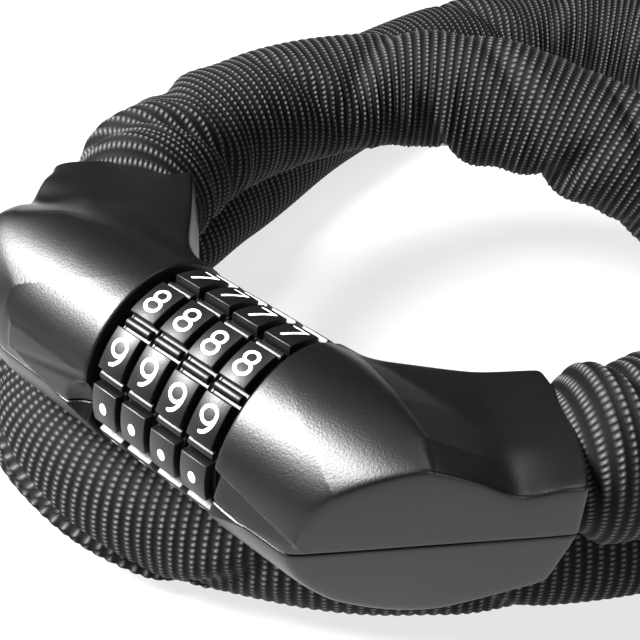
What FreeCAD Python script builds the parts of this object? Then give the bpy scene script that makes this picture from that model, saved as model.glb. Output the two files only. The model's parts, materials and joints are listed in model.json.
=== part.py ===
import FreeCAD, Part
import math
import os
from FreeCAD import Placement, Rotation, Vector

# Combination chain lock, millimetres, +Z up, lying on a table.
# Everything is modelled about the middle of the dial axis (the lock's centre): X along the dial
# axis from the plug half to the lock half, Y towards the middle of the chain loop, Z up.
# save() then moves it into the row's frame, whose origin is at the bottom centre of the whole part.

LOCK_CENTRE = Vector(-18.27, -100.91, 45.0)   # the lock's centre in the row's frame

# Dials and what they turn on
DIAL_COUNT = 4
FACE_COUNT = 10
DIAL_PITCH = 6.66
DIAL_WIDTH = 6.1
DIAL_RADIUS = 16.5          # over the number pads
GROOVE_FLOOR_RADIUS = 14.7  # between the pads
DIAL_BORE_RADIUS = 11.0
PAD_WIDTH = 5.3
FINGER_GROOVE = 2.9
GRIP_BAR_RADIUS = 0.75
CODE_RING_RADIUS = 10.95
CODE_WALL = 2.4             # the part of a code ring that blocks the bolt's fin
CODE_BORE_RADIUS = 7.08
CODE_GROOVE_RADIUS = 9.7
GATE_WIDTH = 3.4
DETENT_NOTCH_RADIUS = 0.7
SPACER_THICKNESS = 0.36
FIRST_PAD_ANGLE = -26.6     # from +Z towards -Y, degrees, for dials 1 and 2
STAGGER = (0.0, 0.0, 2.6, 2.6)  # how far dials 3 and 4 are turned past the first two

# Core tube and bolt
CORE_RADIUS = 7.0
CORE_BORE_RADIUS = 4.6
CORE_END = 13.85
SLOT_WIDTH = 3.2
BOLT_RADIUS = 4.5
BOLT_REACH = 17.0
FIN_WIDTH = 2.8
FIN_RADIUS = 9.3
FIN_LENGTH = 2.85
FLANGE = (16.6, 20.4)       # core flange, and mirrored the bolt's
FLANGE_RADIUS = 10.5

# Housing, one half: a barrel along X, then an arm that bends towards the loop
RIM = 14.2
BARREL_RADIUS = 17.0
BARREL_STRAIGHT_END = 38.0
BARREL_TAPER_END = 54.0
BARREL_TAPER_RADIUS = 10.0
BEND = 26.5
BEND_ANGLE = 45.7
ARM_LENGTH = 32.4
ARM_HALF_WIDTH = 14.1
ARM_TOP = 11.2
ARM_BOTTOM = -10.7
ARM_ROUND = 2.5
WALL = 1.8
FACE_WALL = 2.2
PARTING_GAP = 0.12
SCREW_IN_BARREL = (24.6, -9.6)
SCREW_IN_ARM = 18.8         # along the arm, through the hole of the first link
SCREW_HEAD = (-10.2, -8.4)
SCREW_RADIUS = 1.4
SCREW_HEAD_RADIUS = 2.6
POST_RADIUS = 3.3

# Chain of square-wire links
WIRE = 6.0
LINK_HOLE_LENGTH = 33.0
LINK_HOLE_WIDTH = 9.0
WIRE_ROUND = 1.5
LINK_END = LINK_HOLE_LENGTH / 2 - LINK_HOLE_WIDTH / 2   # centre of a link to its end's centre
LINK_STEP = (LINK_HOLE_WIDTH + WIRE) / 2                # an end's centre to its wire's centre
MOUTH_LINK = ARM_LENGTH - 9.0                           # first link's centre along the arm
ANCHOR_PIN_RADIUS = 3.0
PLUG_LINKS = 15
LOCK_LINKS = 13
MIDDLE_LINKS = 3

# Woven sleeve over the chain
SLEEVE_RADIUS = 14.0
SLEEVE_WALL = 1.0
FLOOR = -45.0               # the table, from the lock's centre
LOW = -31.4                 # centreline of the sleeve where it lies on the table
NECK = (12.0, 8.5)          # half width and half height of the sleeve inside an arm's mouth
SWIVEL_RADIUS = 14.1
SWIVEL_GAP = 0.6

# The sleeve's route. Both ends start inside an arm; the two lists meet on the left.
TUCK = 10.0                 # how far the sleeve goes into each arm's mouth
EXIT_PAST_MOUTH = 3.0
PLUG_ROUTE = [
    (-57.0, 50.0, 0.0), (-51.5, 75.0, 0.0), (-36.5, 97.0, 0.0), (-12.0, 110.5, -2.0),
    (15.0, 118.0, -9.0), (41.0, 120.5, -19.0), (61.5, 112.5, -27.5), (74.0, 93.5, LOW),
    (72.5, 71.0, LOW), (58.5, 51.5, LOW), (42.0, 31.0, LOW), (23.0, 12.5, LOW), (1.0, -1.0, LOW),
    (-23.0, -9.5, LOW), (-46.0, -5.5, LOW), (-61.5, 12.5, LOW), (-68.5, 37.5, LOW),
]
LOCK_ROUTE = [
    (65.0, 45.0, 0.5), (80.5, 64.5, -1.5), (96.0, 83.5, -8.0), (108.0, 104.5, -18.0),
    (114.0, 129.5, -28.0), (108.0, 153.5, LOW), (94.5, 176.0, LOW), (71.5, 192.5, LOW),
    (46.0, 203.5, LOW), (16.0, 209.5, LOW), (-14.0, 210.5, LOW), (-41.5, 201.5, LOW),
    (-62.0, 181.0, LOW), (-73.0, 153.5, LOW), (-76.5, 123.0, LOW), (-75.5, 93.5, LOW),
    (-72.5, 65.0, LOW),
]
# The route is cut into nodes at these edges: line, arc, line, arc ...
UPPER_EDGES = (2, 16)
LOWER_EDGES = (16, 39)
MIDDLE_EDGES = (34, 47)
BACK_EDGES = (40, 57)
FRONT_EDGES = (57, 71)

UP = Vector(0, 0, 1)
ORIGIN = Vector(0, 0, 0)
X_AXIS = Vector(1, 0, 0)
LONG = 400.0                # longer than the part, for cutting


def save(node, shape):
    """Write one sub-part, moved into the row's frame."""
    shape = shape.copy()
    shape.translate(LOCK_CENTRE)
    shape.exportStep(f"parts/{node}.step")
    print(f"{node:24s} solids {len(shape.Solids)} valid {shape.isValid()} {shape.Volume:9.0f} mm3")


def cylinder_x(radius, start, end):
    return Part.makeCylinder(radius, end - start, Vector(start, 0, 0), X_AXIS)


def tube_x(outer, inner, start, end):
    return cylinder_x(outer, start, end).cut(cylinder_x(inner, start - 1, end + 1))


def block(low, high):
    return Part.makeBox(high[0] - low[0], high[1] - low[1], high[2] - low[2], Vector(*low))


def post(radius, place, low, high):
    return Part.makeCylinder(radius, high - low, Vector(place[0], place[1], low), UP)


def mirrored(shape):
    """The left half of the lock from the right half."""
    return shape.mirror(ORIGIN, X_AXIS)


# ---- dials -------------------------------------------------------------------------------------

def dial_x(number):
    return (number - (DIAL_COUNT - 1) / 2) * DIAL_PITCH


def pad_angle(number, face):
    """Turn of a face's middle about X, from +Z towards -Y."""
    return FIRST_PAD_ANGLE + STAGGER[number] + face * 360 / FACE_COUNT


def turned_x(shape, degrees):
    """Turn a shape that stands at +Z about X, towards -Y."""
    return shape.rotated(ORIGIN, X_AXIS, degrees)


def dial(number):
    """A ring with ten raised number pads, and a round grip bar in each finger groove."""
    x = dial_x(number)
    ring = tube_x(GROOVE_FLOOR_RADIUS, DIAL_BORE_RADIUS, x - DIAL_WIDTH / 2, x + DIAL_WIDTH / 2)
    pads = tube_x(DIAL_RADIUS, DIAL_BORE_RADIUS + 1, x - PAD_WIDTH / 2, x + PAD_WIDTH / 2)
    groove = block(
        (x - DIAL_PITCH, -FINGER_GROOVE / 2, GROOVE_FLOOR_RADIUS - 0.6),
        (x + DIAL_PITCH, FINGER_GROOVE / 2, DIAL_RADIUS + 2),
    )
    bar = Part.makeCylinder(
        GRIP_BAR_RADIUS, PAD_WIDTH - 0.6, Vector(x - PAD_WIDTH / 2 + 0.3, 0, GROOVE_FLOOR_RADIUS), X_AXIS
    )
    half_face = 180 / FACE_COUNT
    for face in range(FACE_COUNT):
        pads = pads.cut(turned_x(groove, pad_angle(number, face) + half_face))
    body = ring.fuse(pads)
    for face in range(FACE_COUNT):
        body = body.fuse(turned_x(bar, pad_angle(number, face) + half_face))
    return body.removeSplitter()


def code_ring(number):
    """Sits in the dial's bore. Its gate, at the top, lets the bolt's fin past its wall."""
    x = dial_x(number)
    low, high = x - DIAL_WIDTH / 2, x + DIAL_WIDTH / 2
    ring = tube_x(CODE_RING_RADIUS, CODE_BORE_RADIUS, low, high)
    ring = ring.cut(cylinder_x(CODE_GROOVE_RADIUS, low + CODE_WALL, high + 1))
    gate = block((low - 1, -GATE_WIDTH / 2, 0), (low + CODE_WALL + 1, GATE_WIDTH / 2, CODE_GROOVE_RADIUS))
    ring = ring.cut(gate)
    notch = Part.makeCylinder(
        DETENT_NOTCH_RADIUS, CODE_WALL + 2, Vector(low - 1, 0, -CODE_BORE_RADIUS), X_AXIS
    )
    for face in range(FACE_COUNT):
        ring = ring.cut(turned_x(notch, face * 360 / FACE_COUNT))
    return ring


def spacers():
    """Thin washers between the dials and at both ends, notched where the fins pass."""
    rings = []
    notch = block((-LONG, -GATE_WIDTH / 2, 0), (LONG, GATE_WIDTH / 2, CODE_GROOVE_RADIUS))
    for place in range(DIAL_COUNT + 1):
        x = dial_x(place) - DIAL_PITCH / 2
        ring = tube_x(13.2, CORE_RADIUS + 0.05, x - SPACER_THICKNESS / 2, x + SPACER_THICKNESS / 2)
        rings.append(ring.cut(notch))
    return Part.makeCompound(rings)


# ---- core, bolt and spring ---------------------------------------------------------------------

def core_tube():
    """Slotted tube through the dials, with a flange held in the lock half."""
    tube = cylinder_x(CORE_RADIUS, -CORE_END, FLANGE[1])
    tube = tube.fuse(cylinder_x(FLANGE_RADIUS, *FLANGE))
    tube = tube.cut(cylinder_x(CORE_BORE_RADIUS, -LONG, BOLT_REACH + 1))
    tube = tube.cut(block((-LONG, -SLOT_WIDTH / 2, 0), (RIM, SLOT_WIDTH / 2, 12)))
    tube = tube.cut(block((-13.2, -1.5, -8), (13.4, 1.5, -6.2)))
    return tube.cut(tube_x(CORE_RADIUS + 1, 6.4, -13.75, -13.5)).removeSplitter()


def retaining_ring():
    """Open clip on the end of the core; its gap lines up with the slot."""
    ring = tube_x(9.2, 6.45, -13.73, -13.52)
    return ring.cut(block((-LONG, -1.9, 0), (LONG, 1.9, 12)))


def detent_spring():
    """Flat strip in the core's groove with a click bump under each code ring's wall."""
    strip = block((-13.0, -1.3, -6.55), (13.2, 1.3, -6.25))
    for number in range(DIAL_COUNT):
        x = dial_x(number) - DIAL_WIDTH / 2 + CODE_WALL / 2
        bump = Part.makeCylinder(0.45, 1.6, Vector(x - 0.8, 0, -6.5), X_AXIS)
        strip = strip.fuse(bump)
    return strip.common(block((-LONG, -2, -8), (LONG, 2, -6.25))).removeSplitter()


def bolt():
    """Pin of the plug half: a rod with one fin for each dial, on a flange held in the housing."""
    rod = cylinder_x(BOLT_RADIUS, -FLANGE[1], BOLT_REACH - 1)
    rod = rod.fuse(Part.makeCone(BOLT_RADIUS, BOLT_RADIUS - 1, 1, Vector(BOLT_REACH - 1, 0, 0), X_AXIS))
    rod = rod.fuse(cylinder_x(FLANGE_RADIUS, -FLANGE[1], -FLANGE[0]))
    for number in range(DIAL_COUNT):
        x = dial_x(number) - DIAL_WIDTH / 2 + CODE_WALL + 0.2
        rod = rod.fuse(block((x, -FIN_WIDTH / 2, 0), (x + FIN_LENGTH, FIN_WIDTH / 2, FIN_RADIUS)))
    return rod.removeSplitter()


# ---- housing halves ----------------------------------------------------------------------------

def arm_direction(degrees=BEND_ANGLE):
    return Vector(math.cos(math.radians(degrees)), math.sin(math.radians(degrees)), 0)


def arm_point(along, across=0.0, height=0.0):
    """A point on the right arm, from the bend."""
    across_direction = arm_direction(BEND_ANGLE + 90)
    return Vector(BEND, 0, height) + arm_direction() * along + across_direction * across


def arm_block(start, end, half_width, bottom, top):
    """A block along the arm."""
    shape = Part.makeBox(end - start, 2 * half_width, top - bottom, Vector(start, -half_width, bottom))
    shape.Placement = Placement(Vector(BEND, 0, 0), Rotation(UP, BEND_ANGLE))
    return shape


def rounded_along(shape, radius):
    """Round the four long edges of an arm block."""
    direction = arm_direction()
    long_edges = [
        edge for edge in shape.Edges
        if abs(abs((edge.Vertexes[-1].Point - edge.Vertexes[0].Point).normalize().dot(direction)) - 1) < 1e-6
    ]
    return shape.makeFillet(radius, long_edges)


def housing_form(inset, face, mouth):
    """The outer form of a half, or with an inset the hollow inside it."""
    radius = BARREL_RADIUS - inset
    end = BARREL_STRAIGHT_END - inset
    barrel = cylinder_x(radius, face, end)
    taper = Part.makeCone(
        radius, BARREL_TAPER_RADIUS - inset, BARREL_TAPER_END - BARREL_STRAIGHT_END, Vector(end, 0, 0), X_AXIS
    )
    arm_end = ARM_LENGTH + mouth
    keep = arm_block(-LONG, arm_end, ARM_HALF_WIDTH - inset, -LONG / 2, LONG / 2)
    wide = arm_block(-LONG, arm_end, LONG, -LONG / 2, LONG / 2).cut(
        arm_block(-LONG, LONG, LONG, -LONG / 2, LONG / 2).translated(
            arm_direction(BEND_ANGLE - 90) * (LONG + ARM_HALF_WIDTH - inset)
        )
    )
    arm = arm_block(0, arm_end, ARM_HALF_WIDTH - inset, ARM_BOTTOM + inset, ARM_TOP - inset)
    arm = rounded_along(arm, ARM_ROUND if inset == 0 else ARM_ROUND - 1)
    barrel = barrel.fuse(taper).common(wide)
    tail = barrel.common(block((BEND + 6, -LONG, -LONG), (LONG, LONG, LONG))).common(keep)
    front = barrel.common(block((-LONG, -LONG, -LONG), (BEND + 6.01, LONG, LONG)))
    return front.fuse(tail).fuse(arm).removeSplitter()


def pointer_ridge():
    """Wedge on the front of the barrel that points along the reading line."""
    a = Vector(RIM, -14.5, 8.4)
    b = Vector(RIM, -18.3, -1.6)
    c = Vector(RIM, -13.5, -7.5)
    tip = Vector(31.5, -16.0, 2.4)
    faces = [
        Part.Face(Part.makePolygon([*corners, corners[0]]))
        for corners in ((a, b, c), (a, tip, b), (b, tip, c), (c, tip, a))
    ]
    return Part.makeSolid(Part.makeShell(faces))


def screw_places():
    return [Vector(*SCREW_IN_BARREL, 0), arm_point(SCREW_IN_ARM)]


def half_housing(shaft_hole_radius):
    """Top and bottom cover of the right half, with screw posts and pin sockets."""
    outer = housing_form(0, RIM, 0)
    hollow = housing_form(WALL, RIM + FACE_WALL, 2)
    shell = outer.fuse(pointer_ridge()).cut(hollow)
    flange_rib = tube_x(BARREL_RADIUS - WALL + 0.5, 6.0, FLANGE[1] + 0.15, FLANGE[1] + 1.4)
    pin_place = arm_point(MOUTH_LINK - LINK_END)
    pin_sockets = post(4.6, pin_place, WIRE / 2 + 0.5, ARM_TOP - 1).fuse(
        post(4.6, pin_place, ARM_BOTTOM + 1, -WIRE / 2 - 0.5)
    )
    inside = flange_rib.fuse(pin_sockets)
    for place in screw_places():
        inside = inside.fuse(post(POST_RADIUS, place, -BARREL_RADIUS, BARREL_RADIUS))
    shell = shell.fuse(inside.common(outer))
    shell = shell.cut(cylinder_x(shaft_hole_radius, 0, RIM + FACE_WALL + 1))
    shell = shell.cut(post(ANCHOR_PIN_RADIUS + 0.05, pin_place, ARM_BOTTOM + WALL - 0.2, ARM_TOP - WALL + 0.2))
    for place in screw_places():
        shell = shell.cut(post(SCREW_RADIUS + 0.1, place, -BARREL_RADIUS - 1, 8.2))
        shell = shell.cut(post(SCREW_HEAD_RADIUS + 0.2, place, -BARREL_RADIUS - 5, SCREW_HEAD[1] + 0.1))
    top = shell.common(block((-LONG, -LONG, PARTING_GAP / 2), (LONG, LONG, LONG)))
    bottom = shell.common(block((-LONG, -LONG, -LONG), (LONG, LONG, -PARTING_GAP / 2)))
    return top, bottom


def cover_screws():
    """Two cross-head screws up through the bottom cover."""
    screws = []
    low, high = SCREW_HEAD
    for place in screw_places():
        screw = post(SCREW_RADIUS, place, low, 8.0).fuse(post(SCREW_HEAD_RADIUS, place, low, high))
        for half_x, half_y in ((1.6, 0.35), (0.35, 1.6)):
            recess = block((-half_x, -half_y, low - 1), (half_x, half_y, low + 0.9))
            screw = screw.cut(recess.translated(Vector(place.x, place.y, 0)))
        screws.append(screw)
    return Part.makeCompound(screws)


def anchor_pin():
    """Hardened pin across the arm, through the end link."""
    place = arm_point(MOUTH_LINK - LINK_END)
    return post(ANCHOR_PIN_RADIUS, place, ARM_BOTTOM + WALL + 0.1, ARM_TOP - WALL - 0.1)


# ---- chain -------------------------------------------------------------------------------------

def stadium(half_length, radius, half_height):
    body = Part.makeBox(
        2 * half_length, 2 * radius, 2 * half_height, Vector(-half_length, -radius, -half_height)
    )
    for x in (-half_length, half_length):
        body = body.fuse(Part.makeCylinder(radius, 2 * half_height, Vector(x, 0, -half_height), UP))
    return body.removeSplitter()


def link():
    """One link, long axis on X, flat in XY, square wire with rounded edges."""
    body = stadium(LINK_END, LINK_HOLE_WIDTH / 2 + WIRE, WIRE / 2)
    body = body.cut(stadium(LINK_END, LINK_HOLE_WIDTH / 2, WIRE))
    rims = [
        edge for edge in body.Edges
        if abs(edge.Vertexes[0].Point.z - edge.Vertexes[-1].Point.z) < 1e-6
    ]
    return body.makeFillet(WIRE_ROUND, rims)


def flattened(vector, normal):
    """The unit direction of a vector once its part along a normal is taken out."""
    return (vector - normal * vector.dot(normal)).normalize()


def next_on(route, index, place, distance):
    """The first route point after index that is at least a distance from a place."""
    while index < len(route) - 1 and (route[index] - place).Length < distance:
        index += 1
    return index


def laid_links(first_centre, first_direction, count, route):
    """Centre, direction and normal of each link along a route.

    The first link lies flat and each next one is a quarter turn round from it. A link turns in its
    neighbour's plane about the middle of the neighbour's end, and in its own plane about its own.
    """
    centre, direction, normal = first_centre, first_direction, UP
    links = [(centre, direction, normal)]
    index = 0
    for number in range(1, count):
        upright = number % 2
        hook = centre + direction * LINK_END
        index = next_on(route, index, hook, 2 * LINK_END + LINK_STEP * (1 + upright))
        direction = flattened(route[index] - hook, normal)
        own_end = hook + direction * LINK_STEP
        across = UP.cross(direction).normalize()
        normal = across if upright else direction.cross(across)
        direction = flattened(route[index] - own_end, normal)
        centre = own_end + direction * LINK_END
        links.append((centre, direction, normal))
    return links


def placed_link(shape, centre, direction, normal):
    side = normal.cross(direction)
    return shape.transformed(Placement(centre, Rotation(direction, side, normal)).toMatrix(), True)


# ---- sleeve ------------------------------------------------------------------------------------

def rounded_path(points):
    """Straight runs joined by tangent arcs, each as large as its two runs allow."""
    edges, radii = [], []
    last = points[0]
    for before, corner, after in zip(points, points[1:], points[2:]):
        come, go = (corner - before), (after - corner)
        turn = come.getAngle(go)
        setback = 0.45 * min(come.Length, go.Length)
        radii.append(setback / math.tan(turn / 2))
        come.normalize()
        go.normalize()
        start, end = corner - come * setback, corner + go * setback
        inward = (go - come).normalize()
        middle = corner + inward * (radii[-1] / math.cos(turn / 2) - radii[-1])
        edges.append(Part.LineSegment(last, start).toShape())
        edges.append(Part.Arc(start, middle, end).toShape())
        last = end
    edges.append(Part.LineSegment(last, points[-1]).toShape())
    return edges, radii


def sleeve_tube(edges):
    """The sleeve's plain tube along a stretch of the path."""
    start = edges[0].Vertexes[0].Point
    direction = edges[0].tangentAt(edges[0].FirstParameter)
    rims = [
        Part.Face(Part.Wire(Part.Circle(start, direction, radius).toShape()))
        for radius in (SLEEVE_RADIUS, SLEEVE_RADIUS - SLEEVE_WALL)
    ]
    tube = Part.Wire(edges).makePipe(rims[0].cut(rims[1]).Faces[0])
    above = block((-150, -60, FLOOR), (150, 260, 40))
    section = math.pi * (SLEEVE_RADIUS ** 2 - (SLEEVE_RADIUS - SLEEVE_WALL) ** 2)
    length = sum(edge.Length for edge in edges)
    print(f"sleeve stretch {length:.1f} mm, volume over section x length {tube.Volume / section / length:.4f}")
    return tube.common(above)


def oval(centre, direction, half_width, half_height):
    """An upright ellipse across a direction."""
    curve = Part.Ellipse(ORIGIN, half_width, half_height).toShape()
    across = UP.cross(direction).normalize()
    return Part.Wire(
        curve.transformed(Placement(centre, Rotation(across, UP, direction, "ZXY")).toMatrix(), True)
    )


def sleeve_neck(edges):
    """The gathered end of the sleeve: flattened inside the mouth, opening to the round tube."""
    run, bend = edges[0], edges[1]
    direction = run.tangentAt(run.FirstParameter)
    start = run.Vertexes[0].Point
    mouth = start + direction * TUCK
    end = bend.valueAt(bend.LastParameter)
    end_direction = bend.tangentAt(bend.LastParameter)
    skins = []
    for inset in (0, SLEEVE_WALL - 0.4):
        inside = [
            oval(place, direction, NECK[0] - inset, NECK[1] - inset) for place in (start, mouth)
        ]
        outside = oval(end, end_direction, SLEEVE_RADIUS - inset * 1.5, SLEEVE_RADIUS - inset * 1.5 - 0.001)
        skins.append(Part.makeLoft([inside[1], outside], True, True).fuse(
            Part.makeLoft(inside, True, True)
        ))
    return skins[0].cut(skins[1]).removeSplitter()


def past(pivot, direction, swivel_radius):
    """Everything past a pivot on the low strand, with a round end about the pivot."""
    turn = math.degrees(math.atan2(direction.y, direction.x))
    far = Part.makeBox(130, 90, 60, Vector(0, -45, 0))
    far.Placement = Placement(Vector(pivot.x, pivot.y, FLOOR - 5), Rotation(UP, turn))
    end = Part.makeCylinder(swivel_radius, 60, Vector(pivot.x, pivot.y, FLOOR - 5), UP)
    return far.fuse(end)


def mouth_start(side):
    """Where the sleeve starts inside an arm, and the point just outside that it turns at."""
    places = [arm_point(ARM_LENGTH - TUCK), arm_point(ARM_LENGTH + EXIT_PAST_MOUTH)]
    return [Vector(side * place.x, place.y, place.z) for place in places]


def mirror_x(vector):
    return Vector(-vector.x, vector.y, vector.z)


def save_sleeve(edges, front_pivot, front_direction, back_pivot, back_direction, lock_start, first_link):
    """The sleeve's seven nodes, from the plug half round to the lock half."""
    save("sleeve_plug_end", sleeve_neck(edges).cut(first_link))
    save("sleeve_plug_upper", sleeve_tube(edges[slice(*UPPER_EDGES)]))
    lower = sleeve_tube(edges[slice(*LOWER_EDGES)])
    save("sleeve_plug_lower", lower.cut(past(front_pivot, front_direction, SWIVEL_RADIUS + SWIVEL_GAP)))
    middle = sleeve_tube(edges[slice(*MIDDLE_EDGES)])
    middle = middle.common(past(front_pivot, front_direction, SWIVEL_RADIUS))
    middle = middle.common(past(back_pivot, back_direction * -1, SWIVEL_RADIUS))
    save("sleeve_middle", middle)
    back = sleeve_tube(edges[slice(*BACK_EDGES)])
    save("sleeve_lock_back", back.cut(past(back_pivot, back_direction * -1, SWIVEL_RADIUS + SWIVEL_GAP)))
    save("sleeve_lock_front", sleeve_tube(edges[slice(*FRONT_EDGES)]))
    save("sleeve_lock_end", sleeve_neck(rounded_path(lock_start)[0]))


def main():
    os.makedirs("parts", exist_ok=True)

    for number in range(DIAL_COUNT):
        save(f"dial_{number + 1}", dial(number))
        save(f"code_ring_{number + 1}", code_ring(number))
    save("dial_spacers", spacers())
    save("core_tube", core_tube())
    save("core_retaining_ring", retaining_ring())
    save("detent_spring", detent_spring())
    save("plug_bolt", bolt())

    lock_top, lock_bottom = half_housing(CORE_RADIUS + 0.05)
    save("lock_cover_top", lock_top)
    save("lock_cover_bottom", lock_bottom)
    plug_top, plug_bottom = half_housing(BOLT_RADIUS + 0.1)
    save("plug_cover_top", mirrored(plug_top))
    save("plug_cover_bottom", mirrored(plug_bottom))
    save("lock_screws", cover_screws())
    save("plug_screws", mirrored(cover_screws()))
    save("lock_anchor_pin", anchor_pin())
    save("plug_anchor_pin", mirrored(anchor_pin()))

    plug_points = mouth_start(-1) + [Vector(*point) for point in PLUG_ROUTE]
    lock_points = mouth_start(1) + [Vector(*point) for point in LOCK_ROUTE]
    edges, radii = rounded_path(plug_points + lock_points[::-1])
    print("sleeve bend radii", [round(radius) for radius in radii])
    print(f"sleeve length {sum(edge.Length for edge in edges):.1f} mm")
    route = Part.Wire(edges).discretize(Distance=0.25)

    shape = link()
    plug_links = laid_links(mirror_x(arm_point(MOUTH_LINK)), mirror_x(arm_direction()), PLUG_LINKS, route)
    lock_links = laid_links(
        arm_point(MOUTH_LINK), arm_direction(), LOCK_LINKS + MIDDLE_LINKS, route[::-1]
    )
    for number, (centre, direction, normal) in enumerate(plug_links + lock_links[::-1]):
        save(f"chain_link_{number + 1:02d}", placed_link(shape, centre, direction, normal))

    centre, direction, _ = lock_links[-1]
    front_pivot, front_direction = centre + direction * (LINK_END + LINK_STEP), direction * -1
    centre, direction, _ = lock_links[LOCK_LINKS - 1]
    back_pivot, back_direction = centre + direction * LINK_END, direction * -1
    print("front pivot", front_pivot + LOCK_CENTRE, "back pivot", back_pivot + LOCK_CENTRE)
    first_link = placed_link(shape, *plug_links[0])
    save_sleeve(
        edges, front_pivot, front_direction, back_pivot, back_direction, lock_points[:3], first_link
    )


main()
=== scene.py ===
import json
import math

import bpy
import numpy as np
from mathutils import Matrix, Vector


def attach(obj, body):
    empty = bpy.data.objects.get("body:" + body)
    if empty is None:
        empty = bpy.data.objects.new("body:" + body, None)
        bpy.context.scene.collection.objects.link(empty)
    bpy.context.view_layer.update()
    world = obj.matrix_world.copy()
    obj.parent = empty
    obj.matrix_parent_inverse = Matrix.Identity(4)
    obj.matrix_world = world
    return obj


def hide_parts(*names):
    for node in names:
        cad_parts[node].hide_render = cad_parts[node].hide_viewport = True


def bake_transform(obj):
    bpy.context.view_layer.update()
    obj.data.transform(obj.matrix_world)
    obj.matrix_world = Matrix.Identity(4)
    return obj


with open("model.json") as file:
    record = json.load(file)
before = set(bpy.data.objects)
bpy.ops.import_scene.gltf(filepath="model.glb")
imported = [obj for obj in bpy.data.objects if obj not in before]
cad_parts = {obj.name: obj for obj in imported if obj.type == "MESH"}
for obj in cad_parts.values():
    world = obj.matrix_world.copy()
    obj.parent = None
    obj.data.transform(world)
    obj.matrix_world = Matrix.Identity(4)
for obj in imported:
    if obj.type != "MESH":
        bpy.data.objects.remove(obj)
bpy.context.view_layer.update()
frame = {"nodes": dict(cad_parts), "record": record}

# The middle of the dial axis, in metres in the row's frame. Shapes below are worked out about it in
# millimetres, with X along the dial axis, Y towards the middle of the loop and Z up.
LOCK_CENTRE = np.array([-0.01827, -0.10091, 0.045])
FLOOR = -45.0
LOW = -31.4


def metres(points):
    return np.asarray(points, float) * 0.001 + LOCK_CENTRE


# ---- camera, light and floor -------------------------------------------------------------------

CAMERA_PLACE = (93.56, -84.07, 130.08)      # millimetres from the lock
CAMERA_BACK = (0.4819, -0.5600, 0.6740)     # from what it looks at, towards it
CAMERA_RIGHT = (0.7581, 0.6522, 0.0)

camera_data = bpy.data.cameras.new("camera")
camera_data.lens = 61.9
camera_data.sensor_width = 36.0
camera_data.clip_start = 0.01
camera = bpy.data.objects.new("camera", camera_data)
bpy.context.scene.collection.objects.link(camera)
back = Vector(CAMERA_BACK).normalized()
right = Vector(CAMERA_RIGHT).normalized()
up = back.cross(right)
turn = Matrix((right, up, back)).transposed().to_4x4()
camera.matrix_world = Matrix.Translation(Vector(metres(CAMERA_PLACE))) @ turn
bpy.context.scene.camera = camera


def area_light(name, place, aim, size, power):
    """A square soft light, placed and aimed in millimetres from the lock."""
    data = bpy.data.lights.new(name, "AREA")
    data.shape = "RECTANGLE"
    data.size, data.size_y = size
    data.energy = power
    light = bpy.data.objects.new(name, data)
    bpy.context.scene.collection.objects.link(light)
    start, end = Vector(metres(place)), Vector(metres(aim))
    aimed = (start - end).to_track_quat("Z", "Y").to_matrix().to_4x4()
    light.matrix_world = Matrix.Translation(start) @ aimed


area_light("key_light", (-300, -215, 430), (0, 10, 0), (0.26, 0.26), 21.0)
area_light("top_light", (60, 520, 900), (0, 60, 0), (0.5, 0.5), 3.0)
area_light("side_light", (700, -120, 300), (0, 40, 0), (0.3, 0.3), 1.6)

bpy.context.scene.view_settings.view_transform = "Standard"

world = bpy.data.worlds.new("world")
world.use_nodes = True
world.node_tree.nodes["Background"].inputs["Color"].default_value = (1.0, 1.0, 1.0, 1.0)
world.node_tree.nodes["Background"].inputs["Strength"].default_value = 0.05
bpy.context.scene.world = world


# ---- materials ---------------------------------------------------------------------------------

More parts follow.
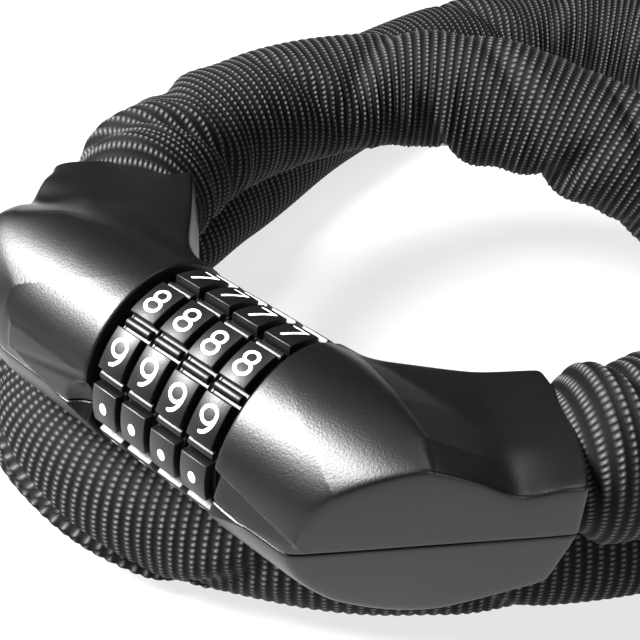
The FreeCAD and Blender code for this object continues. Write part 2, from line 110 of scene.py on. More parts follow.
class Shader:
    """A small helper for node materials."""

    def __init__(self, name, colour, roughness, metallic=0.0, specular=0.5):
        self.material = bpy.data.materials.new(name)
        self.material.use_nodes = True
        self.tree = self.material.node_tree
        self.out = self.tree.nodes["Principled BSDF"]
        self.out.inputs["Base Color"].default_value = (*colour, 1.0)
        self.out.inputs["Roughness"].default_value = roughness
        self.out.inputs["Metallic"].default_value = metallic
        self.out.inputs["Specular IOR Level"].default_value = specular

    def node(self, kind, **settings):
        node = self.tree.nodes.new(kind)
        for key, value in settings.items():
            if key in node.inputs:
                node.inputs[key].default_value = value
            else:
                setattr(node, key, value)
        return node

    def join(self, source, target):
        self.tree.links.new(source, target)

    def math(self, operation, a, b=None):
        node = self.node("ShaderNodeMath", operation=operation)
        for socket, value in zip(node.inputs, (a, b)):
            if value is None:
                continue
            if isinstance(value, (int, float)):
                socket.default_value = value
            else:
                self.join(value, socket)
        return node.outputs[0]

    def noise(self, scale, detail=2.0, roughness=0.5, stretch=None):
        """Object-space noise; scale is in features per metre."""
        place = self.node("ShaderNodeTexCoord").outputs["Object"]
        if stretch:
            mapping = self.node("ShaderNodeMapping")
            mapping.inputs["Scale"].default_value = stretch
            self.join(place, mapping.inputs["Vector"])
            place = mapping.outputs["Vector"]
        noise = self.node("ShaderNodeTexNoise", Scale=scale, Detail=detail, Roughness=roughness)
        self.join(place, noise.inputs["Vector"])
        return noise.outputs["Fac"]

    def ramp(self, factor, low, high):
        """A number that runs from low to high as the factor goes from 0 to 1."""
        node = self.node("ShaderNodeMapRange")
        node.inputs["To Min"].default_value = low
        node.inputs["To Max"].default_value = high
        self.join(factor, node.inputs["Value"])
        return node.outputs["Result"]

    def mix(self, factor, low, high):
        node = self.node("ShaderNodeMix", data_type="RGBA")
        node.inputs["A"].default_value = (*low, 1.0)
        node.inputs["B"].default_value = (*high, 1.0)
        self.join(factor, node.inputs["Factor"])
        return node.outputs["Result"]

    def bump(self, height, distance, strength=1.0):
        node = self.node("ShaderNodeBump")
        node.inputs["Strength"].default_value = strength
        node.inputs["Distance"].default_value = distance
        self.join(height, node.inputs["Height"])
        self.join(node.outputs["Normal"], self.out.inputs["Normal"])


def moulded_plastic(name, colour, roughness, grain):
    """Spark-grained black moulding: fine pits and slight gloss changes."""
    shader = Shader(name, colour, roughness, specular=0.38)
    pits = shader.noise(2600.0, 3.0, 0.6)
    patches = shader.noise(60.0, 3.0)
    shader.join(shader.ramp(patches, roughness - 0.05, roughness + 0.07), shader.out.inputs["Roughness"])
    shader.bump(pits, grain)
    return shader.material


def woven_fabric():
    """Black nylon weave, its colour painted grey on the bead crests as sheen and near-black between the
    rows as shade. The UVs hold millimetres along the sleeve and round it.
    """
    shader = Shader("woven_fabric", (0.002, 0.002, 0.002), 0.6, specular=0.12)
    place = shader.node("ShaderNodeUVMap", uv_map="weave").outputs["UV"]
    split = shader.node("ShaderNodeSeparateXYZ")
    shader.join(place, split.inputs[0])
    along, round_ = split.outputs[0], split.outputs[1]
    row = shader.math("FLOOR", along)
    stagger = shader.math("MULTIPLY", row, 0.5)
    beads = shader.math("SINE", shader.math("MULTIPLY", shader.math("ADD", round_, stagger), math.tau))
    bead = shader.math("MULTIPLY_ADD", beads, 0.5)
    bead.node.inputs[2].default_value = 0.5
    across = shader.math("SINE", shader.math("MULTIPLY", shader.math("FRACT", along), math.pi))
    crest = shader.math("POWER", across, 6.0)
    height = shader.math("MULTIPLY", crest, shader.math("POWER", bead, 0.7))
    threads = shader.noise(5200.0, 2.0, 0.6)
    yarn_height_and_painted_sheen = shader.math("MULTIPLY", height, shader.ramp(threads, 0.75, 1.15))
    # painted light: the bead crests get a painted sheen of grey, and the gaps between the rows get
    # painted shade of near-black; the same value also drives the real roughness and bump
    colour = shader.mix(yarn_height_and_painted_sheen, (0.0002, 0.0002, 0.0002), (0.10, 0.10, 0.101))
    shader.join(colour, shader.out.inputs["Base Color"])
    shader.join(shader.ramp(yarn_height_and_painted_sheen, 0.75, 0.33), shader.out.inputs["Roughness"])
    shader.bump(yarn_height_and_painted_sheen, 0.00045)
    return shader.material


def steel(name, colour, roughness):
    shader = Shader(name, colour, roughness, metallic=1.0)
    streaks = shader.noise(300.0, 4.0, 0.6, stretch=(8.0, 1.0, 1.0))
    shader.join(shader.ramp(streaks, roughness - 0.08, roughness + 0.12), shader.out.inputs["Roughness"])
    shader.bump(streaks, 0.00003)
    return shader.material


def white_print():
    shader = Shader("white_print", (0.86, 0.86, 0.86), 0.45)
    speckle = shader.noise(1800.0, 3.0, 0.6)
    colour = shader.mix(speckle, (0.80, 0.80, 0.80), (0.90, 0.90, 0.90))
    shader.join(colour, shader.out.inputs["Base Color"])
    shader.bump(speckle, 0.00002)
    return shader.material


HOUSING = moulded_plastic("housing_plastic", (0.0022, 0.0022, 0.0023), 0.345, 0.00003)
DIAL = moulded_plastic("dial_plastic", (0.0022, 0.0022, 0.0023), 0.36, 0.000022)
FABRIC = woven_fabric()
STEEL = steel("steel_parts", (0.52, 0.52, 0.53), 0.32)
CHAIN_STEEL = steel("chain_steel", (0.36, 0.36, 0.37), 0.38)
BRASS = steel("brass_parts", (0.68, 0.50, 0.24), 0.30)
PRINT = white_print()

SLOT_MATERIALS = {
    "housing_plastic": HOUSING,
    "dial_plastic": DIAL,
    "brass_parts": BRASS,
    "steel_parts": STEEL,
    "chain_steel": CHAIN_STEEL,
    "sleeve_fabric": FABRIC,
}
for subpart in frame["record"]["subparts"]:
    mesh = frame["nodes"][subpart["node"]].data
    mesh.materials.clear()
    mesh.materials.append(SLOT_MATERIALS[subpart["material_slot"]])


def floor_material():
    """A plain, slightly mottled floor that glows softly, so it stays white in the shadows."""
    shader = Shader("floor", (0.17, 0.17, 0.17), 0.7, specular=0.1)
    shader.join(shader.mix(shader.noise(9.0), (0.17, 0.17, 0.17), (0.18, 0.18, 0.18)),
                shader.out.inputs["Base Color"])
    shader.out.inputs["Emission Color"].default_value = (1.0, 1.0, 1.0, 1.0)
    shader.out.inputs["Emission Strength"].default_value = 0.75
    return shader.material


def new_piece(name, points, faces, material, smooth=True):
    """A mesh object from points in millimetres about the lock."""
    mesh = bpy.data.meshes.new(name)
    mesh.from_pydata(metres(points).tolist(), [], [tuple(int(i) for i in face) for face in faces])
    mesh.materials.append(material)
    mesh.polygons.foreach_set("use_smooth", [smooth] * len(mesh.polygons))
    mesh.update()
    piece = bpy.data.objects.new(name, mesh)
    bpy.context.scene.collection.objects.link(piece)
    return piece


FLOOR_REACH = 6000
floor = new_piece(
    "floor",
    [(x * FLOOR_REACH, y * FLOOR_REACH, FLOOR) for x, y in ((-1, -1), (1, -1), (1, 1), (-1, 1))],
    [(0, 1, 2, 3)], floor_material(), smooth=False,
)


# ---- housing covers ----------------------------------------------------------------------------

BEND, BEND_ANGLE, ARM_LENGTH = 26.5, math.radians(45.7), 32.4
RIM = 14.22
BARREL_RADIUS = 17.02
ARM_HALF_WIDTH = 14.08
COVER_WALL = 1.8
WEDGE_BACK, WEDGE_LOW = 12.5, 11.5          # how far back and down a pointer's wedge runs
PARTING_GAP = 0.06                          # from the middle plane to each cover
BOLT_HOLE, CORE_HOLE, RIM_DEPTH = 4.7, 7.15, 18.0
MESH_STEP, SETTLING_PASSES = 0.42, 3


def bell(value, centre, width):
    return np.exp(-(((value - centre) / width) ** 2))


def ease(value, low, high):
    t = np.clip((value - low) / (high - low), 0.0, 1.0)
    return t * t * (3.0 - 2.0 * t)


def unit(vectors):
    return vectors / np.linalg.norm(vectors, axis=-1, keepdims=True)


def both(a, b, rounding):
    """What is in both forms, with the edge between them rounded."""
    return 0.5 * (a + b + np.sqrt((a - b) ** 2 + rounding * rounding))


def either(a, b, rounding):
    """What is in one form or the other, with a fillet between them."""
    return 0.5 * (a + b - np.sqrt((a - b) ** 2 + rounding * rounding))


def plane(p, normal, through):
    """Distance in front of a plane."""
    normal = np.asarray(normal, float) / np.linalg.norm(normal)
    return p @ normal - np.dot(normal, through)


def top_height(along, across):
    """The arm's upper face. It tilts inward, dips by the outer wall and climbs to the barrel."""
    level = 9.07 - 0.15 * np.clip(across, -16.0, 16.0)
    slope = np.interp(across, (-15.0, -8.0, 1.0, 10.0, 16.0), (0.46, 0.56, 0.49, 0.35, 0.23))
    climb = 0.5 * (21.7 - along + np.sqrt((21.7 - along) ** 2 + 9.0)) * slope
    dip = 1.5 * bell(along, 23.0, 4.5) * ease(-across, 4.0, 14.0)
    crease = np.minimum(7.9 - 0.33 * across, 10.3)
    return level + climb - dip - 0.4 + 0.4 * np.maximum(crease - along, 0.0)


def right_pointer(p, form):
    """A flat triangular facet with a sharp upper edge, pointing along the reading line."""
    high, low = np.array([14.2, -13.9, 5.5]), np.array([14.2, -18.1, -2.1])
    tip = np.array([30.5, -16.4, 3.0])
    facet = plane(p, np.cross(low - high, tip - high), high)
    ceiling = plane(p, np.cross((0.0, -0.93, 0.37), tip - high), high)
    under = plane(p, np.cross((0.0, 4.7, -8.3), tip - low), low)
    x, y, z = p.T
    wedge = np.maximum.reduce([facet, under, y + WEDGE_BACK, -z - WEDGE_LOW, z - 5.5, x - 30.6])
    form = either(form, wedge, 0.35)
    return both(form, -both(-facet, ceiling, 0.25), 0.3)


def left_pointer(p, form):
    """A soft ridge with a groove under its crest, ending in a scoop beside the first dial."""
    high, low = np.array([14.3, -15.2, 7.4]), np.array([14.2, -18.0, -1.5])
    tip = np.array([32.9, -16.8, 2.7])
    facet = plane(p, np.cross(low - high, tip - high), high)
    under = plane(p, np.cross((0.0, 4.4, -8.6), tip - low), low)
    x, y, z = p.T
    wedge = np.maximum.reduce([facet, under, y + WEDGE_BACK, -z - WEDGE_LOW, z - 6.5, x - 32.6])
    form = either(form, wedge, 0.6)
    start, end = np.array([31.5, -17.6, 2.6]), np.array([12.0, -17.1, 7.2])
    t = np.clip(((p - start) @ (end - start)) / np.dot(end - start, end - start), 0.0, 1.0)
    groove = np.linalg.norm(p - start - t[:, None] * (end - start), axis=1) - (0.5 + 1.15 * t)
    form = both(form, -groove, 0.35)
    scoop = np.linalg.norm((p - np.array([12.9, -19.2, 1.9])) / np.array([5.4, 4.4, 5.2]), axis=1)
    return both(form, -(scoop - 1.0) * 4.4, 0.3)


def housing_form(p, left, mouth):
    """Distance from a half's outside: the barrel, the arm and the pointer. The left one flares
    outward at the elbow. Without its mouth the arm runs on.
    """
    x, y, z = p.T
    along = (x - BEND) * math.cos(BEND_ANGLE) + y * math.sin(BEND_ANGLE)
    across = -(x - BEND) * math.sin(BEND_ANGLE) + y * math.cos(BEND_ANGLE)
    barrel = np.hypot(y, z) - BARREL_RADIUS
    arm = both(np.abs(across) - ARM_HALF_WIDTH, np.abs(z - 0.2) - 10.95, 1.2)
    arm = np.maximum(arm, -along - 2.0)
    form = either(barrel, arm, 1.6)
    form = both(form, (z - top_height(along, across) - (1.1 if left else 0.3)) * 0.88, 0.8)
    bottom = 10.72 + 0.34 * np.maximum(ARM_LENGTH - along, 0.0)
    form = both(form, (-z - bottom) * 0.94, 0.9)
    flare = np.interp(along, (0.0, 12.0, 21.7, 32.4), (8.0, 6.2, 2.9, 0.0)) if left else 0.0
    form = both(form, (-across - ARM_HALF_WIDTH - flare) * (0.93 if left else 1.0), 2.2 if left else 0.75)
    form = left_pointer(p, form) if left else right_pointer(p, form)
    form = both(form, RIM - x, 0.35)
    if mouth:
        bow = 1.6 * (across / ARM_HALF_WIDTH) ** 2
        end = ARM_LENGTH + (3.6 if left else 1.5) - bow + 0.28 * np.minimum(z, 0.0)
        form = both(form, along - end, 0.5)
    return form


def cover_distance(p, left, upper):
    """Distance from one moulded cover, inside and out. Points are those of a right half."""
    x, y, z = p.T
    outside = housing_form(p, left, True)
    hollow = housing_form(p, left, False) + COVER_WALL
    hole = np.maximum(np.hypot(y, z) - (BOLT_HOLE if left else CORE_HOLE), x - RIM_DEPTH)
    cover = both(outside, -either(hollow, hole, 0.2), 0.3)
    return both(cover, (PARTING_GAP - z) if upper else (z + PARTING_GAP), 0.28)


def surface(field, low, step):
    """Surface nets: one point in each cell that the surface crosses, and a quad on each crossed edge."""
    shape = np.array(field.shape)
    cells = shape - 1
    total = int(np.prod(cells))
    inside = field < 0.0
    sums = np.zeros((total, 3))
    counts = np.zeros(total)
    quads = []
    for axis in range(3):
        one, two = (axis + 1) % 3, (axis + 2) % 3
        near = [slice(None)] * 3
        far = [slice(None)] * 3
        near[axis], far[axis] = slice(None, -1), slice(1, None)
        crossed = inside[tuple(near)] != inside[tuple(far)]
        index = np.argwhere(crossed)
        index = index[((index[:, [one, two]] > 0) & (index[:, [one, two]] < cells[[one, two]])).all(1)]
        start = field[tuple(near)][tuple(index.T)]
        end = field[tuple(far)][tuple(index.T)]
        place = index.astype(float)
        place[:, axis] += start / (start - end)
        around = []
        for shift_one, shift_two in ((1, 1), (0, 1), (0, 0), (1, 0)):
            cell = index.copy()
            cell[:, one] -= shift_one
            cell[:, two] -= shift_two
            flat = np.ravel_multi_index(tuple(cell.T), tuple(cells))
            around.append(flat)
            counts += np.bincount(flat, minlength=total)
            for component in range(3):
                sums[:, component] += np.bincount(flat, place[:, component], total)
        quad = np.stack(around, 1)
        flip = start > 0.0
        quad[flip] = quad[flip][:, ::-1]
        quads.append(quad)
    used = np.flatnonzero(counts)
    number = np.full(total, -1)
    number[used] = np.arange(len(used))
    points = np.asarray(low) + step * sums[used] / counts[used, None]
    return points, number[np.concatenate(quads)]


def gradient_of(distance, points, reach=0.05):
    """The slope of a distance at each point."""
    parts = []
    for axis in range(3):
        shift = np.zeros(3)
        shift[axis] = reach
        parts.append(distance(points + shift) - distance(points - shift))
    return np.stack(parts, 1) / (2.0 * reach)


def cover(name, left, upper, replaced, body, step=MESH_STEP):
    """One moulded cover as a mesh drawn on to its exact surface."""
    low = np.array([13.6, -20.0, -0.9 if upper else -18.2])
    high = np.array([68.0 if left else 61.5, 36.0, 18.2 if upper else 0.9])
    count = np.ceil((high - low) / step).astype(int) + 1
    axes = [low[axis] + step * np.arange(count[axis]) for axis in range(3)]
    grid = np.stack(np.meshgrid(*axes, indexing="ij"), -1).reshape(-1, 3)
    distance = lambda p: cover_distance(p, left, upper)
    points, quads = surface(distance(grid).reshape(count), low, step)
    for _ in range(SETTLING_PASSES):
        slope = gradient_of(distance, points)
        move = -distance(points)[:, None] * slope / np.maximum((slope ** 2).sum(1, keepdims=True), 0.3)
        points = points + np.clip(move, -0.25, 0.25)
    normals = unit(gradient_of(distance, points))
    if left:
        points[:, 0] *= -1.0
        normals[:, 0] *= -1.0
        quads = quads[:, ::-1]
    piece = new_piece(name, points, quads, HOUSING)
    piece.data.normals_split_custom_set_from_vertices(normals.tolist())
    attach(piece, body)
    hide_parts(replaced)
    return piece


cover("lock_half_upper", False, True, "lock_cover_top", "lock_half")
cover("lock_half_lower", False, False, "lock_cover_bottom", "lock_half")
cover("plug_half_upper", True, True, "plug_cover_top", "plug_half")
cover("plug_half_lower", True, False, "plug_cover_bottom", "plug_half")


# ---- dials -------------------------------------------------------------------------------------

DIAL_PITCH = 6.66
PAD_RADIUS, GROOVE_RADIUS, SHOULDER_RADIUS = 16.5, 14.4, 14.6
FIRST_ANGLE = -26.6
STAGGER = (0.0, 0.0, 2.6, 2.6)
FIRST_DIGIT = 7


def wheel_profile():
    """Angle and radius over one face, from the middle of a grip bar to the middle of the pad."""
    half = []
    for turn in np.linspace(0.0, 90.0, 7):
        reach = 0.85 * math.sin(math.radians(turn))
        height = 14.8 + 0.85 * math.cos(math.radians(turn))
        half.append((math.degrees(math.atan2(reach, height)), height))
    half += [(3.45, GROOVE_RADIUS), (4.95, GROOVE_RADIUS), (5.05, 16.28), (5.25, 16.43)]
    half += [(5.6, PAD_RADIUS)]
    half += [(angle, PAD_RADIUS) for angle in (7.5, 10.0, 12.5, 15.0, 18.0)]
    back_half = [(-angle, radius) for angle, radius in half[1:-1]][::-1]
    return [(angle, radius) for angle, radius in back_half + half]


def wheel(number):
    """A dial: ten pads with broken edges, ten grooves with grip bars, and plain shoulders."""
    centre = (number - 1.5) * DIAL_PITCH
    across = [
        (-3.05, 0.0, -3.6), (-3.05, 0.0, -0.15), (-2.93, 0.0, 0.0), (-2.67, 0.0, 0.0), (-2.63, 0.9, 0.0),
        (-2.57, 0.965, 0.0), (-2.42, 1.0, 0.0), (0.0, 1.0, 0.0), (2.42, 1.0, 0.0), (2.57, 0.965, 0.0),
        (2.63, 0.9, 0.0), (2.67, 0.0, 0.0), (2.93, 0.0, 0.0), (3.05, 0.0, -0.15), (3.05, 0.0, -3.6),
    ]
    points = []
    profile = wheel_profile()
    for face in range(10):
        for angle, radius in profile:
            turn = math.radians(FIRST_ANGLE + STAGGER[number] + 18.0 + 36.0 * face + angle)
            for x, lift, sink in across:
                reach = SHOULDER_RADIUS + (radius - SHOULDER_RADIUS) * lift + sink
                points.append((centre + x, -reach * math.sin(turn), reach * math.cos(turn)))
    rows, width = len(points) // len(across), len(across)
    faces = []
    for row in range(rows):
        following = (row + 1) % rows
        for column in range(width):
            beside = (column + 1) % width
            faces.append((row * width + column, row * width + beside,
                          following * width + beside, following * width + column))
    piece = new_piece(f"number_wheel_{number + 1}", points, faces, DIAL)
    piece.data.set_sharp_from_angle(angle=math.radians(32.0))
    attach(piece, f"dial_{number + 1}_turning")
    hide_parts(f"dial_{number + 1}")


def arc(x, y, wide, high, start, end, steps=20):
    """Points on an ellipse, between two angles in degrees."""
    turns = np.radians(np.linspace(start, end, steps))
    return [(x + wide * math.cos(turn), y + high * math.sin(turn)) for turn in turns]


# Strokes in millimetres: x to the right, y up, about the middle of the digit.
DIGITS = {
    1: [[(-0.75, 1.35), (0.25, 2.15), (0.25, -2.15)]],
    2: [arc(0.0, 0.95, 1.25, 1.2, 165, -35) + [(-1.3, -2.15), (1.35, -2.15)]],
    3: [arc(0.0, 1.05, 1.15, 1.1, 150, -90) + arc(0.0, -1.05, 1.3, 1.1, 90, -150)],
    4: [[(0.45, -2.15), (0.45, 2.15), (-1.35, -0.9), (1.35, -0.9)]],
    5: [[(1.1, 2.15), (-0.95, 2.15), (-1.1, 0.25)] + arc(-0.05, -0.75, 1.35, 1.4, 125, -150)],
    6: [arc(0.0, -0.8, 1.35, 1.35, 0, 360, 32), arc(0.75, -0.6, 2.1, 2.8, 176, 98)],
    7: [[(-1.3, 2.1), (1.35, 2.1), (-0.45, -2.15)]],
    8: [arc(0.0, 1.08, 1.13, 1.07, 0, 360, 28), arc(0.0, -1.02, 1.32, 1.14, 0, 360, 32)],
    9: [arc(0.0, 0.8, 1.35, 1.35, 0, 360, 32), arc(-0.75, 0.6, 2.1, 2.8, -4, -82)],
}
STROKE = 0.29               # half the width of a stroke
STROKE_STEP = 0.45          # short enough to follow the pad's curve
PRINT_LIFT = 0.035


def stroke_mesh(line, points, faces):
    """A flat ribbon with round ends along a line."""
    coarse, line = np.array(line), []
    for start, end in zip(coarse, coarse[1:]):
        steps = max(1, math.ceil(np.linalg.norm(end - start) / STROKE_STEP))
        line += [start + (end - start) * k / steps for k in range(steps)]
    line = np.array(line + [coarse[-1]])
    corners = [0]
    for i in range(1, len(line) - 1):
        before, after = unit(line[i] - line[i - 1]), unit(line[i + 1] - line[i])
        if before @ after < 0.8:
            corners.append(i)
    corners.append(len(line) - 1)
    for first, last in zip(corners, corners[1:]):
        run = line[first:last + 1]
        direction = unit(np.gradient(run, axis=0))
        if np.allclose(run[0], run[-1]):
            direction[0] = direction[-1] = unit(run[1] - run[-2])
        normal = np.stack([-direction[:, 1], direction[:, 0]], 1) * STROKE
        base = len(points)
        for spot, offset in zip(run, normal):
            points += [tuple(spot - offset), tuple(spot), tuple(spot + offset)]
        for i in range(len(run) - 1):
            for half in (0, 1):
                k = base + 3 * i + half
                faces.append((k, k + 3, k + 4, k + 1))
    for corner in corners:
        base = len(points)
        points.append(tuple(line[corner]))
        points += [tuple(spot) for spot in arc(*line[corner], STROKE, STROKE, 0, 337.5, 16)]
        faces += [(base, base + 1 + i, base + 1 + (i + 1) % 16) for i in range(16)]


def printed_digits(number):
    """The white digits of one dial, and an oval spot for nought, just proud of the pads."""
    centre = (number - 1.5) * DIAL_PITCH
    points, faces = [], []
    for face in range(10):
        digit = (FIRST_DIGIT + face) % 10
        flat, flat_faces = [], []
        if digit:
            for line in DIGITS[digit]:
                stroke_mesh(line, flat, flat_faces)
        else:
            flat = [(0.0, 0.0)]
            for ring in (0.35, 0.7, 1.0):
                flat += arc(0.0, 0.0, 0.78 * ring, 1.12 * ring, 0, 348.75, 32)
            flat_faces = [(0, 1 + i, 1 + (i + 1) % 32) for i in range(32)]
            for ring in (0, 1):
                for i in range(32):
                    k, n = 1 + 32 * ring + i, 1 + 32 * ring + (i + 1) % 32
                    flat_faces.append((k, k + 32, n + 32, n))
        middle = math.radians(FIRST_ANGLE + STAGGER[number] + 36.0 * face)
        base = len(points)
        for x, y in flat:
            turn = middle - y / PAD_RADIUS
            reach = PAD_RADIUS + PRINT_LIFT
            points.append((centre + x, -reach * math.sin(turn), reach * math.cos(turn)))
        faces += [tuple(base + i for i in corners) for corners in flat_faces]
    piece = new_piece(f"printed_digits_{number + 1}", points, faces, PRINT)
    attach(piece, f"dial_{number + 1}_turning")


for number in range(4):
    wheel(number)
    printed_digits(number)


# ---- the sleeve --------------------------------------------------------------------------------

RIB_PITCH = 1.9
BEAD_PITCH = 1.1
SLEEVE_RADIUS = 13.9
RINGS_PER_RIB = 6
ROUND_STEPS = 112
LINK_PAIR = 63.0            # along the chain, from one upright link to the next
NECK_WIDE, NECK_HIGH = 12.0, 8.0
TUCKED, EXIT = 10.0, 3.0    # into each arm's mouth, and on to where the sleeve first bends


def arm_point(along, side):
    return (side * (BEND + along * math.cos(BEND_ANGLE)), along * math.sin(BEND_ANGLE), 0.0)


ROUTE = [
    arm_point(ARM_LENGTH - TUCKED, -1), arm_point(ARM_LENGTH + EXIT, -1),
    (-57.0, 50.0, 0.0), (-51.5, 75.0, 0.0), (-36.5, 97.0, 0.0), (-12.0, 110.5, -2.0),
    (15.0, 118.0, -9.0), (41.0, 120.5, -19.0), (61.5, 112.5, -27.5), (74.0, 93.5, LOW),
    (72.5, 71.0, LOW), (58.5, 51.5, LOW), (42.0, 31.0, LOW), (23.0, 12.5, LOW), (1.0, -1.0, LOW),
    (-23.0, -9.5, LOW), (-46.0, -5.5, LOW), (-61.5, 12.5, LOW), (-68.5, 37.5, LOW),
    (-72.5, 65.0, LOW), (-75.5, 93.5, LOW), (-76.5, 123.0, LOW), (-73.0, 153.5, LOW),
    (-62.0, 181.0, LOW), (-41.5, 201.5, LOW), (-14.0, 210.5, LOW), (16.0, 209.5, LOW),
    (46.0, 203.5, LOW), (71.5, 192.5, LOW), (94.5, 176.0, LOW), (108.0, 153.5, LOW),
    (114.0, 129.5, -28.0), (108.0, 104.5, -18.0), (96.0, 83.5, -8.0), (80.5, 64.5, -1.5),
    (65.0, 45.0, 0.5),
    arm_point(ARM_LENGTH + EXIT, 1), arm_point(ARM_LENGTH - TUCKED, 1),
]
FRONT_PIVOT = np.array([-70.574, 51.797, LOW])
BACK_PIVOT = np.array([-72.067, 153.303, LOW])


def smooth_route():
    """Points along the sleeve's centreline, as the spline through the route gives them."""
    curve = bpy.data.curves.new("sleeve_route", "CURVE")
    curve.dimensions = "3D"
    curve.resolution_u = 24
    spline = curve.splines.new("NURBS")
    spline.points.add(len(ROUTE) - 1)
    for point, place in zip(spline.points, metres(ROUTE)):
        point.co = (*place, 1.0)
    spline.order_u = 3
    spline.use_endpoint_u = True
    route = bpy.data.objects.new("sleeve_route", curve)
    mesh = bpy.data.meshes.new_from_object(route)
    points = np.array([vertex.co for vertex in mesh.vertices], float)
    bpy.data.objects.remove(route)
    bpy.data.curves.remove(curve)
    bpy.data.meshes.remove(mesh)
    return (points - LOCK_CENTRE) * 1000.0


def resampled(points, count):
    steps = np.linalg.norm(np.diff(points, axis=0), axis=1)
    at = np.concatenate([[0.0], np.cumsum(steps)])
    wanted = np.linspace(0.0, at[-1], count)
    return np.stack([np.interp(wanted, at, points[:, axis]) for axis in range(3)], 1), wanted


spine_points = smooth_route()
SLEEVE_LENGTH = float(np.linalg.norm(np.diff(spine_points, axis=0), axis=1).sum())
RIBS = round(SLEEVE_LENGTH / RIB_PITCH)
spine, distance = resampled(spine_points, RIBS * RINGS_PER_RIB + 1)
heading = unit(np.gradient(spine, axis=0))
side = unit(np.cross(heading, (0.0, 0.0, 1.0)))      # to the right of the run, level
crown = np.cross(side, heading)                      # up


def nearest_distance(place):
    return distance[np.argmin(np.linalg.norm(spine - place, axis=1))]


# Each fold: where it is along the sleeve, where it is round it (from the top, to the right of the
# run), how far it slants, and its depth, half width and reach round the sleeve.
FOLDS = [
    (17.0, -0.9, 3.0, 1.8, 2.6, 1.2), (25.0, 0.3, 6.0, 1.9, 3.2, 1.3),
    (38.0, -0.9, -8.0, 1.3, 4.5, 1.0), (63.0, 0.9, 10.0, 1.6, 5.0, 0.9),
    (82.0, 0.0, -9.0, 1.1, 5.5, 1.2), (98.0, 2.2, 6.0, 2.6, 5.0, 1.0),
    (112.0, 0.6, 11.0, 1.5, 5.0, 1.0), (128.0, 2.2, -6.0, 2.4, 5.0, 1.0),
    (140.0, 0.5, 14.0, 1.5, 5.0, 1.1), (158.0, 1.5, -9.0, 2.0, 4.5, 1.0),
    (181.0, 0.4, 8.0, 1.4, 5.0, 1.0), (204.0, 1.2, -6.0, 1.4, 5.0, 1.0),
    (262.0, -0.5, 8.0, 1.2, 5.0, 1.0), (300.0, -1.6, 12.0, 1.0, 5.0, 0.8),
    (338.0, -1.5, -14.0, 1.2, 5.0, 0.9), (370.0, -1.55, 37.0, 2.0, 4.0, 0.9),
    (396.0, -0.6, 17.0, 1.7, 5.0, 1.1), (420.0, -1.2, -12.0, 1.2, 5.0, 0.9),
    (436.0, 0.3, 8.0, 1.4, 5.0, 1.2), (482.0, 0.6, -8.0, 0.5, 5.0, 1.1),
    (519.0, -0.4, 8.0, 0.5, 5.0, 1.1), (575.0, 0.4, 9.0, 1.8, 5.0, 1.2),
    (606.0, -0.5, -8.0, 1.7, 5.0, 1.1), (640.0, 0.3, 9.0, 1.3, 5.0, 1.1),
    (694.0, 0.5, 8.0, 1.3, 5.0, 1.2), (742.0, -0.6, -9.0, 1.3, 5.0, 1.1),
    (786.0, 0.2, 8.0, 1.3, 5.0, 1.1), (838.0, -0.9, 9.0, 1.3, 5.0, 1.1),
    (893.0, -0.2, -7.0, 1.4, 5.0, 1.1), (915.0, 0.9, 6.0, 1.6, 4.0, 1.2),
    (929.0, 0.6, 4.0, 2.2, 2.8, 1.4),
]


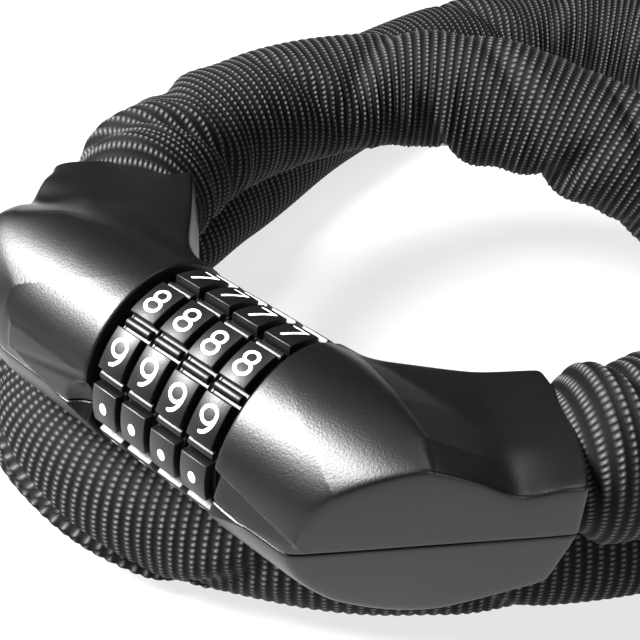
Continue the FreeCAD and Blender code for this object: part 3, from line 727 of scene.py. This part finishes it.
def sleeve_shape():
    """Rings of points round the spine: the neck at each mouth, ribs, creases and chain bulges."""
    angle = np.linspace(0.0, 2.0 * math.pi, ROUND_STEPS, endpoint=False)
    s = distance[:, None]
    a = angle[None, :]
    to_end = np.minimum(s, SLEEVE_LENGTH - s)
    # the chain inside: flat and upright links in turn push the sleeve out of round
    links = np.cos(2.0 * math.pi * (s - 13.0) / LINK_PAIR)
    radius = SLEEVE_RADIUS * (0.985 + 0.030 * links * -np.cos(2.0 * a))
    # wrinkles on the inside of bends
    bend = np.gradient(heading, axis=0) / np.gradient(distance)[:, None]
    toward = np.stack([(bend * side).sum(1), (bend * crown).sum(1)], 1)
    inner = toward[:, :1] * np.sin(a) + toward[:, 1:] * np.cos(a)
    wave = np.sin(2.0 * math.pi * s / 9.5 + 1.7 * np.sin(s / 23.0))
    wrinkle = wave * np.clip(inner - 0.006, 0.0, 0.03) * 26.0
    radius = radius + wrinkle
    radius = radius + 0.24 * np.sin(s / 7.3 + 2.0 * a) + 0.30 * np.sin(s / 15.0 - 3.0 * a + 1.0)
    radius = radius - 0.9 * bell(s, 85.0, 32.0) + 0.6 * bell(s, 540.0, 60.0) + 0.4 * bell(s, 480.0, 30.0)
    # folds pressed into the cloth
    for place, round_, slant, depth, width, reach in FOLDS:
        off = (a - round_ + math.pi) % (2.0 * math.pi) - math.pi
        line = s - place - slant * off
        fade = np.exp(-(off / reach) ** 2)
        swell, groove = bell(line, 1.35 * width, width), bell(line, 0.0, 0.62 * width)
        radius = radius + fade * (depth * 0.55 * swell - depth * groove)
    # ribs
    rib = np.sin(math.pi * ((s / RIB_PITCH) % 1.0))
    ribbed = 0.30 * (rib - 0.55)
    # neck in each mouth
    open_ = ease(to_end, 9.5, 16.0)
    wide = NECK_WIDE + (radius - NECK_WIDE) * open_
    high = NECK_HIGH + (radius - NECK_HIGH) * open_
    across = (wide + ribbed) * np.sin(a)
    rise = (high + ribbed) * np.cos(a)
    points = spine[:, None, :] + side[:, None, :] * across[..., None]
    points = points + crown[:, None, :] * rise[..., None]
    # flat where it rests
    points[..., 2] = np.maximum(points[..., 2], FLOOR + 0.02)
    return points


rings = sleeve_shape()


def sleeve_piece(name, start, end):
    """One stretch of the sleeve, from one rib valley to another."""
    first = round(start / SLEEVE_LENGTH * RIBS) * RINGS_PER_RIB
    last = round(end / SLEEVE_LENGTH * RIBS) * RINGS_PER_RIB
    part = rings[first:last + 1]
    count = len(part)
    row, column = np.meshgrid(np.arange(count - 1), np.arange(ROUND_STEPS), indexing="ij")
    following = (column + 1) % ROUND_STEPS
    faces = np.stack([
        row * ROUND_STEPS + column, (row + 1) * ROUND_STEPS + column,
        (row + 1) * ROUND_STEPS + following, row * ROUND_STEPS + following,
    ], -1).reshape(-1, 4)
    piece = new_piece(name, part.reshape(-1, 3), faces, FABRIC)
    beads = round(2.0 * math.pi * SLEEVE_RADIUS / BEAD_PITCH)
    along = distance[first:last + 1] / RIB_PITCH
    u = np.stack([along[row], along[row + 1], along[row + 1], along[row]], -1)
    v = np.stack([column, column, column + 1, column + 1], -1) * (beads / ROUND_STEPS)
    layer = piece.data.uv_layers.new(name="weave")
    layer.data.foreach_set("uv", np.stack([u, v], -1).reshape(-1))
    path = metres(spine[first:last + 1:RINGS_PER_RIB])
    return piece, path, float(distance[last] - distance[first]) * 0.001


front_at, back_at = nearest_distance(FRONT_PIVOT), nearest_distance(BACK_PIVOT)
plug_sleeve, plug_path, plug_length = sleeve_piece("sleeve_plug_side", 0.0, front_at)
middle_sleeve, _, _ = sleeve_piece("sleeve_between", front_at, back_at)
lock_sleeve, lock_path, lock_length = sleeve_piece("sleeve_lock_side", back_at, SLEEVE_LENGTH)

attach(plug_sleeve, "plug_half")
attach(lock_sleeve, "lock_half")
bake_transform(middle_sleeve)
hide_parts("sleeve_plug_end", "sleeve_plug_upper", "sleeve_plug_lower")
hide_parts("sleeve_middle")
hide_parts("sleeve_lock_back", "sleeve_lock_front", "sleeve_lock_end")
